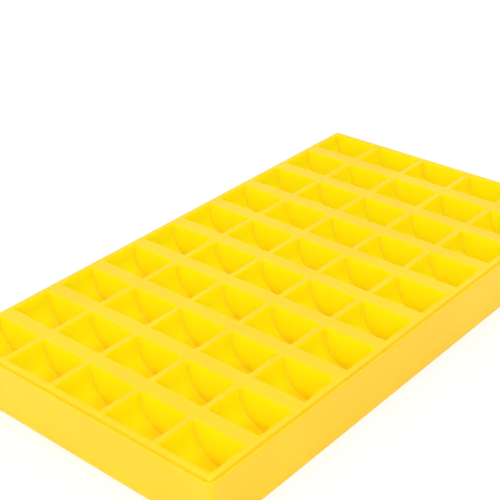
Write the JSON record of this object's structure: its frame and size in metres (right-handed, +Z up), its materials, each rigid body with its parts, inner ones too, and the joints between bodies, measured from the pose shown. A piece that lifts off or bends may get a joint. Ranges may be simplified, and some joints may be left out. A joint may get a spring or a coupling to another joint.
{
  "type": "coin organizer box",
  "caption": "Shallow moulded tray with a grid of round-bottomed cells for stacks of coins on edge, a raised rim inside a narrow ledge, and a hollow underside.",
  "frame": {"origin": "centre of the footprint, on the surface that the tray stands on", "axes": "+X across the short side, +Y along the long side and along the troughs, +Z up"},
  "size_m": [0.1444, 0.261, 0.0255],
  "materials": {
    "tray_plastic": "yellow moulded plastic with a soft gloss"
  },
  "bodies": {
    "root": {"coin_tray": "tray_plastic"}
  },
  "joints": []
}
